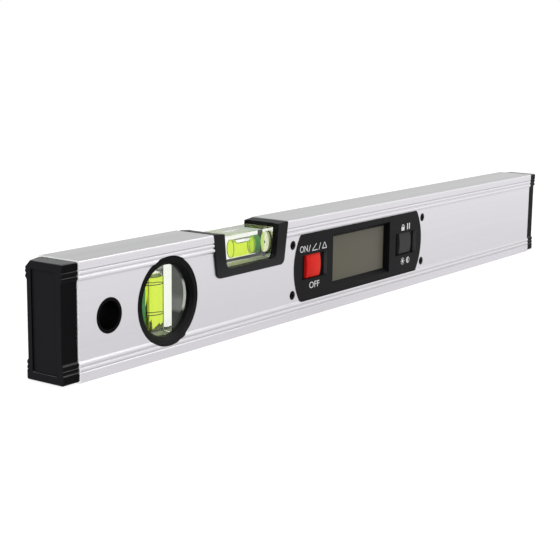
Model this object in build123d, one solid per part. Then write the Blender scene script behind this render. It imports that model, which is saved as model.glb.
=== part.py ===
from build123d import *
from math import cos, hypot, radians, sin
import os

# A digital spirit level: a ribbed aluminium box profile with a hanging hole, a plumb vial, a level vial,
# an angle display with two rocking keys, and a battery tray behind a cover in the rear face.
# Millimetres. X runs along the level, Y from the front face to the rear one, Z up.
# The origin is at the middle of the base.

# Overall size
overall_length = 400.0
body_height = 46.8
body_width = 21.1

# Section of the aluminium profile
side_wall = 1.5
deck_wall = 2.2
panel_recess = 0.75
edge_radius = 0.8
upper_band = 3.4
lower_band = 4.0
bead_width = 1.6
groove_width = 0.4
groove_depth = 0.4
step_width = 0.45

# Gap left on each side where two pieces are put together
slip = 0.1

# End caps
cap_length = 8.15
cap_side_inset = 0.95
cap_deck_inset = 0.45
cap_side_rim = 2.35
cap_deck_rim = 3.1
cap_recess = 0.7
cap_recess_radius = 0.8
cap_chamfer = 0.2
cap_corner = 3.0
plug_length = 6.0
plug_wall = 1.6

# Hanging hole and the two halves of its bush
hang_inset = 24.83
hang_radius = 5.6
bush_wall = 0.8
bush_lip = 0.57
bush_flange = 0.7
bush_proud = 0.1
bush_chamfer = 0.25
bush_spigot = 2.0

# Trim rings, housing and bright liners of the plumb vial
hang_to_plumb = 9.19
ring_cover = 0.05
ring_face = 2.37
ring_mouth = 1.25
ring_thickness = 0.8
ring_proud = 0.1
ring_depth = 3.25
ring_cone = 1.3
collar_wall = 0.8
liner_length = 1.65
liner_step = 0.25
housing_step = 0.5
housing_skin = 1.65
peg_radius = 0.7
peg_depth = 2.5
peg_angle = 20.0

# Vials: a clear block with a barrel-shaped chamber
vial_block = 14.4
vial_chamfer = 0.5
chamber_radius = 4.2
chamber_crown = 0.15
liquid_gap = 0.2
line_width = 0.35
line_depth = 0.12
plumb_block_depth = 12.6
plumb_chamber = 25.0
plumb_spacing = 12.4
plumb_floor = 2.5
plumb_plug = 2.4
plumb_bubble = 2.2
level_block_length = 40.0
level_block_height = 13.8
level_chamber = 15.65
level_spacing = 14.6
level_seal = 4.0
level_plug = 5.6
level_plug_sink = 2.1
level_disc = 1.4
disc_radius = 4.75
plug_pin_radius = 0.5
bubble_length = 11.4
bubble_radius = 2.0
bubble_drop = 0.6

# Frame of the level vial
plumb_to_level = 9.83
level_cheek = 3.05
level_sink = 2.15
frame_arm_top = 6.6
frame_arm_bottom = 3.85
frame_straight = 1.0
frame_floor = 3.15
frame_corner = 3.0
frame_flat = 2.0
frame_slope = 0.5
frame_round = 0.8
frame_rear = 8.6
window_cover_top = 0.6
window_cover_bottom = 2.35
window_sill = 0.4
window_corner = 2.8

# Display module
level_to_display = 6.04
bezel_proud = 0.15
bezel_height = 31.2
bezel_bow = 5.1
bezel_corner = 2.0
flange_wall = 1.5
flange_gap = 1.0
flange_end = 0.5
lcd_rim = 2.63
lcd_window = 51.8
lcd_depth = 2.9
lcd_slope = 2.1
lcd_overlap = 1.6
lcd_thickness = 2.2
backlight_thickness = 2.9
holder_wall = 1.5
zebra_width = 2.0
zebra_inset = 1.5
pcb_thickness = 1.6
pcb_margin = 1.0
pcb_gap = 0.5
post_radius = 2.4
post_inset = 2.8
post_pilot = 0.8

# Keys, which rock on trunnions
key_to_lcd = 5.9
power_key_shift = 0.9
key_pocket_width = 20.6
key_pocket_height = 11.5
key_pocket_depth = 1.85
key_to_side = 5.36
key_width = 11.3
key_gap = 0.3
key_sink = 0.25
key_bulge = 0.7
key_edge = 0.35
trunnion_radius = 0.9
trunnion_gap = 0.05
trunnion_stand = 0.6
trunnion_entry = 1.5
cheek_length = 2.6
cheek_skin = 0.5
cheek_side = 0.9
leg_offset = 3.8
leg_width = 4.0
leg_height = 1.6
mat_margin = 0.8
mat_base = 0.8
dome_radius = 2.0
dome_top_radius = 1.4
dome_height = 1.0
mat_gap = 0.05

# Screws through the aluminium, and the small ones behind the circuit board
screw_head = 2.05
screw_shaft = 0.95
screw_length = 5.5
screw_dome = 0.3
screw_slot = 0.6
screw_slot_depth = 0.6
screw_beside = 0.9
screw_inset = 4.05
boss_radius = 2.6
pilot_gap = 0.05
board_screw_head = 1.9
board_screw_head_height = 1.2
board_screw_shaft = 0.75
board_screw_length = 4.2

# Chips on the circuit board
chip_size = 12.0
chip_height = 1.6
chip_from_middle = 16.0
sensor_size = 8.0
sensor_height = 2.5
sensor_from_middle = 18.0

# Battery tray for two cells of the AAA size, and its cover
display_to_tray = 1.0
cell_radius = 5.25
cell_length = 44.5
cell_nub_radius = 1.9
cell_nub = 1.2
cell_chamfer = 0.4
cell_space = 0.5
contact_room = 1.55
contact_sheet = 0.4
contact_size = 8.6
leaf_sheet = 0.3
leaf_width = 5.0
leaf_height = 6.4
tag_width = 2.0
tag_reach = 2.0
tag_from_middle = 3.5
tag_back = 2.3
tray_floor = 1.4
tray_proud = 0.5
tray_ledge = 1.2
tray_rim = 1.3
tray_corner = 1.5
tray_ear = 5.7
tray_ear_height = 25.0
tray_screw_spacing = 18.0
tray_boss = 4.5
land_length = 7.0
land_wall = 1.6
door_thickness = 1.6
door_gap = 0.2
door_grip = 0.35
door_grip_count = 5
door_grip_pitch = 1.6
door_pilot_gap = 0.3
lead_radius = 0.65
lead_inset = 4.0

# Levels of the profile
half_length = overall_length / 2
half_width = body_width / 2
mid_z = body_height / 2
panel_y = half_width - panel_recess
inner_y = panel_y - side_wall
beads = 2 * (groove_width + bead_width) + step_width
panel_bottom = lower_band + beads
panel_top = body_height - upper_band - beads
hollow_height = body_height - 2 * deck_wall
profile_end = half_length - cap_length
beyond = body_width

# Places along the level, each measured from its neighbour on the left
bush_radius = hang_radius + bush_wall
hang_flange = bush_radius + bush_lip
hang_x = -half_length + hang_inset
plumb_block_length = plumb_floor + plumb_chamber + plumb_plug
housing_outer = hypot(vial_block / 2, plumb_block_length / 2) + slip + housing_skin
ring_radius = housing_outer + ring_cover
aperture_radius = ring_radius - ring_face - ring_mouth
plumb_bore = aperture_radius + collar_wall + slip
housing_inner = aperture_radius + housing_step
plumb_x = hang_x + hang_flange + hang_to_plumb + ring_radius
peg_circle = (plumb_bore + housing_outer) / 2
ring_front = -panel_y - ring_proud
ring_end = ring_front + ring_depth
liner_end = ring_end + liner_length
level_block_depth = body_width - 2 * level_cheek
frame_half_top = level_block_length / 2 + frame_arm_top
frame_half_bottom = level_block_length / 2 + frame_arm_bottom
frame_drop = level_sink + level_block_height + frame_floor
level_x = plumb_x + ring_radius + plumb_to_level + frame_half_top
level_z = body_height - level_sink - level_block_height / 2
level_chamber_end = level_block_length / 2 - level_plug_sink - level_plug - level_seal
level_chamber_x = level_x + level_chamber_end - level_chamber / 2
level_disc_start = level_chamber / 2 + level_seal + level_plug
bezel_half_width = lcd_window / 2 + key_to_lcd + key_pocket_width + key_to_side
bezel_half_height = bezel_height / 2
display_x = level_x + frame_half_top + level_to_display + bezel_half_width

# Levels through the display module, from its face towards the rear
face_y = -(panel_y + bezel_proud)
flange_front = -inner_y
flange_back = flange_front + flange_wall
lcd_front = face_y + lcd_depth
lcd_back = lcd_front + lcd_thickness
pcb_front = lcd_back + backlight_thickness
pcb_back = pcb_front + pcb_thickness
pocket_floor = face_y + key_pocket_depth
pivot_y = flange_back + trunnion_stand
cheek_back = pivot_y + trunnion_radius + cheek_skin
mat_top = pcb_front - mat_base - dome_height

# Half sizes in the display module
lcd_window_half_height = bezel_half_height - lcd_rim
lcd_half_width = lcd_window / 2 + lcd_overlap
lcd_view_half_height = lcd_window_half_height - lcd_slope
lcd_half_height = lcd_view_half_height + lcd_overlap
screw_x = bezel_half_width + screw_beside
screw_z = bezel_half_height - screw_inset
flange_half_width = screw_x + boss_radius + flange_end
flange_half_height = hollow_height / 2 - flange_gap
pcb_half_width = screw_x - boss_radius - pcb_gap
pcb_half_height = flange_half_height - pcb_margin
post_x = pcb_half_width - post_inset
post_z = pcb_half_height - post_inset
key_offset = lcd_window / 2 + key_to_lcd + key_pocket_width / 2
key_half_height = key_pocket_height / 2 - key_gap
trunnion_reach = key_width / 2 + key_gap + cheek_length - key_gap
screw_cone = screw_head - screw_shaft

# Places in the battery tray
cell_pitch = 2 * cell_radius + cell_space
tray_face = panel_y + tray_proud
door_inner = tray_face - door_thickness
cell_y = door_inner - door_gap - cell_radius
floor_top = cell_y - cell_radius - slip
floor_bottom = floor_top - tray_floor
bay_half_height = cell_pitch / 2 + cell_radius + slip
door_half_height = bay_half_height + tray_ledge
rim_half_height = door_half_height + slip + tray_rim
rim_left = display_x + flange_half_width + display_to_tray + tray_ear
door_left = rim_left + tray_rim + slip
bay_left = door_left + tray_ledge
bay_right = bay_left + cell_length + 2 * contact_room
door_right = bay_right + land_length
rim_right = door_right + slip + tray_rim
door_screw_x = door_right - land_length / 2
tray_screw_x = (rim_left - tray_ear / 2, rim_right + tray_ear / 2)
tag_y = cell_y + tag_back


def box_between(low, high):
    """Box from its lowest corner to its highest one."""
    size = [b - a for a, b in zip(low, high)]
    middle = [(a + b) / 2 for a, b in zip(low, high)]
    return Pos(*middle) * Box(*size)


def rod_x(y, z, radius, low, high):
    """Round rod along X."""
    return Pos((low + high) / 2, y, z) * Rot(0, 90, 0) * Cylinder(radius, high - low)


def rod_y(x, z, radius, low, high):
    """Round rod along Y."""
    return Pos(x, (low + high) / 2, z) * Rot(90, 0, 0) * Cylinder(radius, high - low)


def turned_y(points, x, z):
    """Solid turned about a line along Y, from points given as (radius, y)."""
    return Pos(x, 0, z) * revolve(make_face(Polyline(*points, close=True)), Axis.Y)


def plate_y(sketch, low, high):
    """Sketch drawn in X and Z, made solid from one Y to another."""
    return Pos(0, low, 0) * extrude(Plane.XZ * sketch, amount=high - low, dir=(0, 1, 0))


def rounded_plate(x, half_width, z, half_height, radius, low, high):
    """Plate with rounded corners, facing along Y."""
    return plate_y(Pos(x, z) * RectangleRounded(2 * half_width, 2 * half_height, radius), low, high)


def corners(x, half_x, z, half_z):
    """The four points at the corners of a rectangle, in X and Z."""
    return [(x + i * half_x, z + j * half_z) for i in (-1, 1) for j in (-1, 1)]


def group(solids):
    """Several separate solids as one node."""
    return Compound(children=[solid for shape in solids for solid in shape.solids()])


def edge_ribs(side, upper, side_inset, deck_inset):
    """Section lines from a deck round one long edge and over its two beads to the recessed panel."""
    def at(along, deep):
        return side * (half_width - side_inset - deep), body_height - along if upper else along

    turn = edge_radius * (1 - cos(radians(45)))
    band = upper_band if upper else lower_band
    lines = [
        ThreePointArc(
            at(deck_inset, edge_radius), at(deck_inset + turn, turn), at(deck_inset + edge_radius, 0)
        ),
        Line(at(deck_inset + edge_radius, 0), at(band, 0)),
    ]
    along = band
    deep = 0
    for _ in range(2):
        start = along + groove_width
        finish = start + bead_width
        lines.append(Line(at(along, deep), at(start, groove_depth)))
        crest = at((start + finish) / 2, 0)
        lines.append(ThreePointArc(at(start, groove_depth), crest, at(finish, groove_depth)))
        along = finish
        deep = groove_depth
    lines.append(Line(at(along, deep), at(along + step_width, panel_recess)))
    return lines


def profile_section(side_inset, deck_inset):
    """Outline of the profile, drawn in Y and Z, or of a cap that stands back from it."""
    lines = []
    for side in (-1, 1):
        lines += edge_ribs(side, False, side_inset, deck_inset)
        lines += edge_ribs(side, True, side_inset, deck_inset)
        y = side * (panel_y - side_inset)
        lines.append(Line((y, panel_bottom), (y, panel_top)))
    deck_y = half_width - side_inset - edge_radius
    for z in (deck_inset, body_height - deck_inset):
        lines.append(Line((-deck_y, z), (deck_y, z)))
    return make_face(lines)


def profile_length(low, high, side_inset=0, deck_inset=0):
    """Such an outline made solid from one X to another."""
    section = profile_section(side_inset, deck_inset)
    return Pos(low, 0, 0) * extrude(Plane.YZ * section, amount=high - low, dir=(1, 0, 0))


def frame_outline(grow):
    """Outline of the level vial's frame, drawn in X and Z, made larger by a gap."""
    top = body_height
    bottom = body_height - frame_drop - grow
    right = [
        (frame_half_bottom + grow, bottom),
        (frame_half_top + grow, top - frame_straight),
        (frame_half_top + grow, top),
    ]
    left = [(-x, z) for x, z in reversed(right)]
    outline = make_face(Polyline(*[(level_x + x, z) for x, z in right + left], close=True))
    return fillet(outline.vertices().group_by(Axis.Y)[0], frame_corner + grow)


def bezel_outline(grow):
    """Outline of the bezel, drawn in X and Z: straight top and bottom, bowed sides, round corners."""
    side = bezel_half_width + grow
    corner = side - bezel_bow
    height = bezel_half_height + grow
    outline = make_face([
        Line((-corner, -height), (corner, -height)),
        ThreePointArc((corner, -height), (side, 0), (corner, height)),
        Line((corner, height), (-corner, height)),
        ThreePointArc((-corner, height), (-side, 0), (-corner, -height)),
    ])
    return Pos(display_x, mid_z) * fillet(outline.vertices(), bezel_corner + grow)


def front_screw(x, z):
    """Screw with a domed countersunk head, put in from the front."""
    surface = -panel_y
    body = turned_y([
        (0, surface - screw_dome),
        (screw_head / 2, surface - screw_dome * 0.8),
        (screw_head, surface),
        (screw_shaft, surface + screw_cone),
        (screw_shaft, surface + screw_length),
        (0, surface + screw_length + screw_shaft),
    ], x, z)
    deep = surface - screw_dome + screw_slot_depth
    for half_x, half_z in ((screw_head * 0.6, screw_slot / 2), (screw_slot / 2, screw_head * 0.6)):
        body -= box_between((x - half_x, -beyond, z - half_z), (x + half_x, deep, z + half_z))
    return body


def front_screw_hole(x, z, wall):
    """Countersunk hole for such a screw, through a wall of this thickness behind the panel."""
    surface = -panel_y
    return turned_y([
        (0, -beyond),
        (screw_head + slip, -beyond),
        (screw_head + slip, surface),
        (screw_shaft + slip, surface + screw_cone),
        (screw_shaft + slip, surface + max(wall, screw_cone) + slip),
        (0, surface + max(wall, screw_cone) + slip),
    ], x, z)


def to_rear(shape):
    """The same shape on the other face of the level."""
    return mirror(shape, about=Plane.XZ)


display_screws = corners(display_x, screw_x, mid_z, screw_z)
tray_screw_z = (mid_z - tray_screw_spacing / 2, mid_z + tray_screw_spacing / 2)
tray_screws = [(x, z) for x in tray_screw_x for z in tray_screw_z]
board_posts = corners(display_x, post_x, mid_z, post_z)
key_places = {"power_key": display_x - key_offset + power_key_shift, "hold_key": display_x + key_offset}
peg_places = [
    (plumb_x + i * peg_circle * cos(radians(peg_angle)), mid_z + j * peg_circle * sin(radians(peg_angle)))
    for i in (-1, 1) for j in (-1, 1)
]


def body_profile():
    """Aluminium profile with every opening cut in it."""
    body = profile_length(-profile_end, profile_end)
    body -= box_between((-half_length, -inner_y, deck_wall),
                        (half_length, inner_y, body_height - deck_wall))
    body -= rod_y(hang_x, mid_z, bush_radius + slip, -beyond, beyond)
    body -= rod_y(plumb_x, mid_z, plumb_bore, -beyond, beyond)
    ring_seat = rod_y(plumb_x, mid_z, ring_radius + slip, -beyond, ring_front + ring_thickness)
    bush_seat = rod_y(hang_x, mid_z, hang_flange + slip, -beyond, -panel_y - bush_proud + bush_flange)
    for seat in (ring_seat, bush_seat):
        body -= seat
        body -= to_rear(seat)
    for x, z in peg_places:
        body -= rod_y(x, z, peg_radius + slip, -beyond, beyond)
    body -= plate_y(frame_outline(slip), -beyond, beyond)
    body -= plate_y(bezel_outline(slip), -beyond, -inner_y / 2)
    rim_middle = (rim_left + rim_right) / 2
    rim_half = (rim_right - rim_left) / 2
    window = rounded_plate(rim_middle, rim_half + slip, mid_z, rim_half_height + slip,
                           tray_corner + slip, 0, beyond)
    body -= window
    for x, z in display_screws:
        body -= front_screw_hole(x, z, side_wall)
    for x, z in tray_screws:
        body -= to_rear(front_screw_hole(x, z, side_wall))
    return body


def end_cap():
    """Right-hand cap: set back from the profile's outline, with a recessed end face and a hollow plug."""
    cap = profile_length(profile_end, half_length, cap_side_inset, cap_deck_inset)
    cap = chamfer(cap.edges().group_by(Axis.X)[-1], cap_chamfer)
    recess_y = panel_y - cap_side_inset - cap_side_rim
    recess_z = mid_z - cap_deck_inset - cap_deck_rim
    recess = Pos(0, mid_z) * RectangleRounded(2 * recess_y, 2 * recess_z, cap_recess_radius)
    hollow = extrude(Plane.YZ * recess, amount=cap_recess, dir=(1, 0, 0))
    cap -= Pos(half_length - cap_recess, 0, 0) * hollow
    rear_top = (half_length, half_width - cap_side_inset - cap_corner, body_height - cap_deck_inset)
    slanted = Plane(origin=rear_top, z_dir=(1 / cap_length, 1 / cap_corner, 1 / cap_corner))
    cap = split(cap, bisect_by=slanted, keep=Keep.BOTTOM)
    outer_y = inner_y - slip
    outer_z = hollow_height / 2 - slip
    start = profile_end - plug_length
    plug = box_between((start, -outer_y, mid_z - outer_z), (profile_end, outer_y, mid_z + outer_z))
    hole_y = outer_y - plug_wall
    hole_z = outer_z - plug_wall
    plug -= box_between((start, -hole_y, mid_z - hole_z), (profile_end, hole_y, mid_z + hole_z))
    return cap + plug


def hang_bush_front():
    """Front half of the bush, with a spigot that enters the rear half."""
    front = -panel_y - bush_proud
    joint = hang_radius + bush_wall / 2
    return turned_y([
        (hang_radius + bush_chamfer, front),
        (hang_flange - bush_proud, front),
        (hang_flange, -panel_y),
        (hang_flange, front + bush_flange),
        (bush_radius, front + bush_flange),
        (bush_radius, 0),
        (joint - slip / 2, 0),
        (joint - slip / 2, bush_spigot),
        (hang_radius, bush_spigot),
        (hang_radius, front + bush_chamfer),
    ], hang_x, mid_z)


def hang_bush_rear():
    """Rear half of the bush, bored out where the front half enters it."""
    rear = panel_y + bush_proud
    joint = hang_radius + bush_wall / 2
    return turned_y([
        (hang_radius + bush_chamfer, rear),
        (hang_flange - bush_proud, rear),
        (hang_flange, panel_y),
        (hang_flange, rear - bush_flange),
        (bush_radius, rear - bush_flange),
        (bush_radius, 0),
        (joint, 0),
        (joint, bush_spigot),
        (hang_radius, bush_spigot),
        (hang_radius, rear - bush_chamfer),
    ], hang_x, mid_z)


def plumb_ring_front():
    """Trim ring let into the wall: a flat face, a cone and a collar round the aperture, and four pegs."""
    seat = ring_front + ring_thickness
    ring = turned_y([
        (ring_radius - ring_proud, ring_front),
        (ring_radius, -panel_y),
        (ring_radius, seat),
        (aperture_radius + collar_wall, seat),
        (aperture_radius + collar_wall, ring_end),
        (aperture_radius, ring_end),
        (aperture_radius, ring_front + ring_cone),
        (ring_radius - ring_face, ring_front),
    ], plumb_x, mid_z)
    for x, z in peg_places:
        ring += rod_y(x, z, peg_radius, ring_front + ring_thickness / 2, -inner_y + peg_depth)
    return ring


def plumb_liner_front():
    """Two bright strips behind the trim ring, one on each side of the vial."""
    outer = rod_y(plumb_x, mid_z, plumb_bore - slip, ring_end, liner_end)
    inner = rod_y(plumb_x, mid_z, aperture_radius + liner_step, ring_end, liner_end)
    gap = vial_block / 2 + slip
    middle = box_between((plumb_x - gap, ring_end, 0), (plumb_x + gap, liner_end, body_height))
    return group([outer - inner - middle])


def plumb_housing():
    """Tube between the side walls, clear of the decks, with room for the vial, the liners and the pegs."""
    tube = rod_y(plumb_x, mid_z, housing_outer, -inner_y, inner_y)
    for side in (-1, 1):
        deck = mid_z + side * (hollow_height / 2 - slip)
        low, high = sorted((deck, deck + side * housing_outer))
        tube -= box_between((plumb_x - housing_outer, -beyond, low),
                            (plumb_x + housing_outer, beyond, high))
    tube -= rod_y(plumb_x, mid_z, housing_inner, -beyond, beyond)
    mouth = rod_y(plumb_x, mid_z, plumb_bore, -beyond, liner_end)
    tube -= mouth
    tube -= to_rear(mouth)
    half_x = vial_block / 2 + slip
    half_z = plumb_block_length / 2 + slip
    tube -= box_between((plumb_x - half_x, -beyond, mid_z - half_z),
                        (plumb_x + half_x, beyond, mid_z + half_z))
    for x, z in peg_places:
        hole = rod_y(x, z, peg_radius + slip, -inner_y, -inner_y + peg_depth + slip)
        tube -= hole
        tube -= to_rear(hole)
    return tube


def barrel(radius, low, high):
    """Barrel about the X axis: the full radius in its middle, less by the crown at its ends."""
    end = radius - chamber_crown
    outline = make_face([
        Line((low, 0), (low, end)),
        ThreePointArc((low, end), ((low + high) / 2, radius), (high, end)),
        Line((high, end), (high, 0)),
        Line((high, 0), (low, 0)),
    ])
    return revolve(outline, Axis.X)


def vial_lines(chamber, spacing):
    """The two rings that mark the level position, on the chamber's wall, about the X axis."""
    outer = chamber_radius - chamber_crown * (spacing / chamber) ** 2 - chamber_crown / 4
    rings = []
    for side in (-1, 1):
        middle = side * spacing / 2
        low = middle - line_width / 2
        high = middle + line_width / 2
        rings.append(rod_x(0, 0, outer, low, high) - rod_x(0, 0, outer - line_depth, low, high))
    return rings


def vial_bore(chamber, plug_end):
    """Chamber and the straight bore that its plug closes, about the X axis with the plug at +X."""
    half = chamber / 2
    return barrel(chamber_radius, -half, half) + rod_x(0, 0, chamber_radius - chamber_crown, half, plug_end)


def vial_stopper(low, high):
    """Disc in the bore, about the X axis."""
    return rod_x(0, 0, chamber_radius - chamber_crown, low, high)


def upright(shape):
    """A vial's piece turned from the X axis to stand in the plumb block, with its plug at the top."""
    middle = mid_z - plumb_block_length / 2 + plumb_floor + plumb_chamber / 2
    return Pos(plumb_x, 0, middle) * Rot(0, -90, 0) * shape


def laid(shape):
    """A vial's piece placed in the level block, along X."""
    return Pos(level_chamber_x, 0, level_z) * shape


def plumb_vial_block():
    half = (vial_block / 2, plumb_block_depth / 2, plumb_block_length / 2)
    block = box_between((plumb_x - half[0], -half[1], mid_z - half[2]),
                        (plumb_x + half[0], half[1], mid_z + half[2]))
    block = chamfer(block.edges(), vial_chamfer)
    return block - upright(vial_bore(plumb_chamber, plumb_chamber / 2 + plumb_plug + slip))


def plumb_vial_liquid():
    half = plumb_chamber / 2
    liquid = barrel(chamber_radius - liquid_gap, -half, half)
    air = rod_x(0, 0, chamber_radius, half - plumb_bubble, half)
    return upright(liquid - air)


def plumb_vial_plug():
    half = plumb_chamber / 2
    return upright(vial_stopper(half, half + plumb_plug))


def level_vial_block():
    block = chamfer(Box(level_block_length, level_block_depth, level_block_height).edges(), vial_chamfer)
    bore = vial_bore(level_chamber, level_block_length)
    bore += rod_x(0, 0, disc_radius, level_disc_start, level_block_length)
    return Pos(level_x, 0, level_z) * block - laid(bore)


def level_vial_liquid():
    """Liquid with the long bubble that floats under the top of the chamber."""
    half = level_chamber / 2
    liquid = barrel(chamber_radius - liquid_gap, -half, half)
    reach = bubble_length / 2 - bubble_radius
    bubble = rod_x(0, 0, bubble_radius, -reach, reach)
    for x in (-reach, reach):
        bubble += Pos(x, 0, 0) * Sphere(bubble_radius)
    return laid(liquid - Pos(0, 0, chamber_radius - liquid_gap - bubble_drop) * bubble)


def level_vial_seal():
    half = level_chamber / 2
    return laid(vial_stopper(half, half + level_seal))


def level_vial_plug():
    return laid(vial_stopper(level_disc_start - level_plug, level_disc_start))


def level_vial_disc():
    """Disc over the clear plug, with the small hole that its filling pin left."""
    end = level_disc_start + level_disc
    disc = rod_x(0, 0, disc_radius, level_disc_start, end)
    return laid(disc - rod_x(0, 0, plug_pin_radius, level_disc_start, end))


def level_vial_frame():
    """U-shaped frame, open at the top and from front to rear, with a pocket for the block."""
    outline = frame_outline(0)
    outline = fillet(outline.vertices().group_by(Axis.Y)[-1], frame_round)
    frame = plate_y(outline, -half_width, frame_rear)
    top = body_height
    half_block = level_block_length / 2
    window_top = half_block - window_cover_top
    window_bottom = half_block - window_cover_bottom
    sill = body_height - level_sink - level_block_height + window_sill
    window = make_face(Polyline(
        (level_x - window_bottom, sill),
        (level_x + window_bottom, sill),
        (level_x + window_top, top),
        (level_x - window_top, top),
        close=True,
    ))
    window = fillet(window.vertices().group_by(Axis.Y)[0], window_corner)
    frame -= plate_y(window, -beyond, beyond)
    half_depth = level_block_depth / 2 + slip
    floor = body_height - level_sink - level_block_height
    frame -= box_between((level_x - half_block - slip, -half_depth, floor),
                         (level_x + half_block + slip, half_depth, top + beyond))
    for side in (-1, 1):
        slope = make_face(Polyline(
            (level_x + side * (frame_half_top - frame_flat), top),
            (level_x + side * window_top / 2, top),
            (level_x + side * window_top / 2, top - frame_slope),
            (level_x + side * window_top, top - frame_slope),
            close=True,
        ))
        frame -= plate_y(slope, -beyond, beyond)
    return frame


def lcd_opening():
    """Window over the display glass: its upper and lower walls slope, its side walls are straight."""
    slopes = make_face(Polyline(
        (face_y, mid_z - lcd_window_half_height),
        (lcd_front, mid_z - lcd_view_half_height),
        (lcd_front, mid_z + lcd_view_half_height),
        (face_y, mid_z + lcd_window_half_height),
        close=True,
    ))
    opening = extrude(Plane.YZ * slopes, amount=lcd_window, dir=(1, 0, 0))
    return Pos(display_x - lcd_window / 2, 0, 0) * opening


def display_bezel():
    """Face of the display module, its flange behind the wall, and what carries the keys and the board."""
    x = display_x
    bezel = plate_y(bezel_outline(0), face_y, flange_back)
    bezel += box_between((x - flange_half_width, flange_front, mid_z - flange_half_height),
                         (x + flange_half_width, flange_back, mid_z + flange_half_height))
    bezel -= lcd_opening()
    bezel -= box_between((x - lcd_half_width - slip, lcd_front, mid_z - lcd_half_height - slip),
                         (x + lcd_half_width + slip, flange_back, mid_z + lcd_half_height + slip))
    for sx, sz in display_screws:
        bezel += rod_y(sx, sz, boss_radius, flange_back, pcb_front)
        bezel -= rod_y(sx, sz, screw_shaft + pilot_gap, flange_front, pcb_front)
    for px, pz in board_posts:
        bezel += rod_y(px, pz, post_radius, flange_back, pcb_front)
        bezel -= rod_y(px, pz, post_pilot, flange_back, pcb_front)
    for key_x in key_places.values():
        half_height = key_pocket_height / 2
        opening = key_width / 2 + key_gap
        bezel -= box_between((key_x - key_pocket_width / 2, face_y, mid_z - half_height),
                             (key_x + key_pocket_width / 2, pocket_floor, mid_z + half_height))
        bezel -= box_between((key_x - opening, face_y, mid_z - half_height),
                             (key_x + opening, flange_back, mid_z + half_height))
        cheek_half = trunnion_radius + cheek_side
        for side in (-1, 1):
            near, far = sorted((key_x + side * opening, key_x + side * (opening + cheek_length)))
            bezel += box_between((near, flange_back, mid_z - cheek_half),
                                 (far, cheek_back, mid_z + cheek_half))
            bezel -= rod_x(pivot_y, mid_z, trunnion_radius + trunnion_gap, near, far)
            bezel -= box_between((near, pivot_y, mid_z - trunnion_entry / 2),
                                 (far, cheek_back, mid_z + trunnion_entry / 2))
    return bezel


def rocking_key(x):
    """Key with a bulged face, trunnions along X and two legs that press the mat."""
    crown = face_y + key_sink
    edge = crown + key_bulge
    high = mid_z + key_half_height
    low = mid_z - key_half_height
    section = make_face([
        Line((pivot_y, low), (edge, low)),
        ThreePointArc((edge, low), (crown, mid_z), (edge, high)),
        Line((edge, high), (pivot_y, high)),
        Line((pivot_y, high), (pivot_y, low)),
    ])
    key = Pos(x - key_width / 2, 0, 0) * extrude(Plane.YZ * section, amount=key_width, dir=(1, 0, 0))
    key = fillet(key.edges().filter_by(GeomType.CIRCLE), key_edge)
    key += rod_x(pivot_y, mid_z, trunnion_radius, x - trunnion_reach, x + trunnion_reach)
    for side in (-1, 1):
        z = mid_z + side * leg_offset
        key += box_between((x - leg_width / 2, pivot_y, z - leg_height / 2),
                           (x + leg_width / 2, mat_top - mat_gap, z + leg_height / 2))
    return key


def key_mat(x):
    """Silicone mat on the board, with a dome under each leg of the key."""
    half_x = key_width / 2
    half_z = leg_offset + dome_radius + mat_margin
    mat = box_between((x - half_x, pcb_front - mat_base, mid_z - half_z),
                      (x + half_x, pcb_front, mid_z + half_z))
    base = pcb_front - mat_base
    for side in (-1, 1):
        mat += turned_y([(0, mat_top), (dome_top_radius, mat_top), (dome_radius, base), (0, base)],
                        x, mid_z + side * leg_offset)
    return mat


def lcd_panel():
    return box_between((display_x - lcd_half_width, lcd_front, mid_z - lcd_half_height),
                       (display_x + lcd_half_width, lcd_back, mid_z + lcd_half_height))


def lcd_backlight():
    half_x = lcd_half_width - zebra_inset
    half_z = lcd_half_height - zebra_width - slip
    return box_between((display_x - half_x, lcd_back, mid_z - half_z),
                       (display_x + half_x, pcb_front, mid_z + half_z))


def zebra_strips():
    """Soft contact strips between the display glass and the board, above and below the backlight."""
    half_x = lcd_half_width - zebra_inset
    strips = []
    for side in (-1, 1):
        low, high = sorted((mid_z + side * lcd_half_height, mid_z + side * (lcd_half_height - zebra_width)))
        strips.append(box_between((display_x - half_x, lcd_back, low),
                                  (display_x + half_x, pcb_front, high)))
    return group(strips)


def lcd_holder():
    """Frame round the display glass, the backlight and the contact strips."""
    half_x = lcd_half_width + slip
    half_z = lcd_half_height + slip
    outer_x = half_x + holder_wall
    outer_z = half_z + holder_wall
    frame = box_between((display_x - outer_x, flange_back, mid_z - outer_z),
                        (display_x + outer_x, pcb_front, mid_z + outer_z))
    return frame - box_between((display_x - half_x, flange_back, mid_z - half_z),
                               (display_x + half_x, pcb_front, mid_z + half_z))


def main_pcb():
    board = box_between((display_x - pcb_half_width, pcb_front, mid_z - pcb_half_height),
                        (display_x + pcb_half_width, pcb_back, mid_z + pcb_half_height))
    for x, z in board_posts:
        board -= rod_y(x, z, board_screw_shaft + slip, pcb_front, pcb_back)
    return board


def board_screw(x, z):
    """Small screw put in from behind the board."""
    head = pcb_back + board_screw_head_height
    return turned_y([
        (0, head),
        (board_screw_head * 0.7, head),
        (board_screw_head, head - board_screw_head_height / 2),
        (board_screw_head, pcb_back),
        (board_screw_shaft, pcb_back),
        (board_screw_shaft, pcb_back - board_screw_length),
        (0, pcb_back - board_screw_length),
    ], x, z)


def chip_on_board(x, size, height):
    return box_between((x - size / 2, pcb_back, mid_z - size / 2),
                       (x + size / 2, pcb_back + height, mid_z + size / 2))


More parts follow.
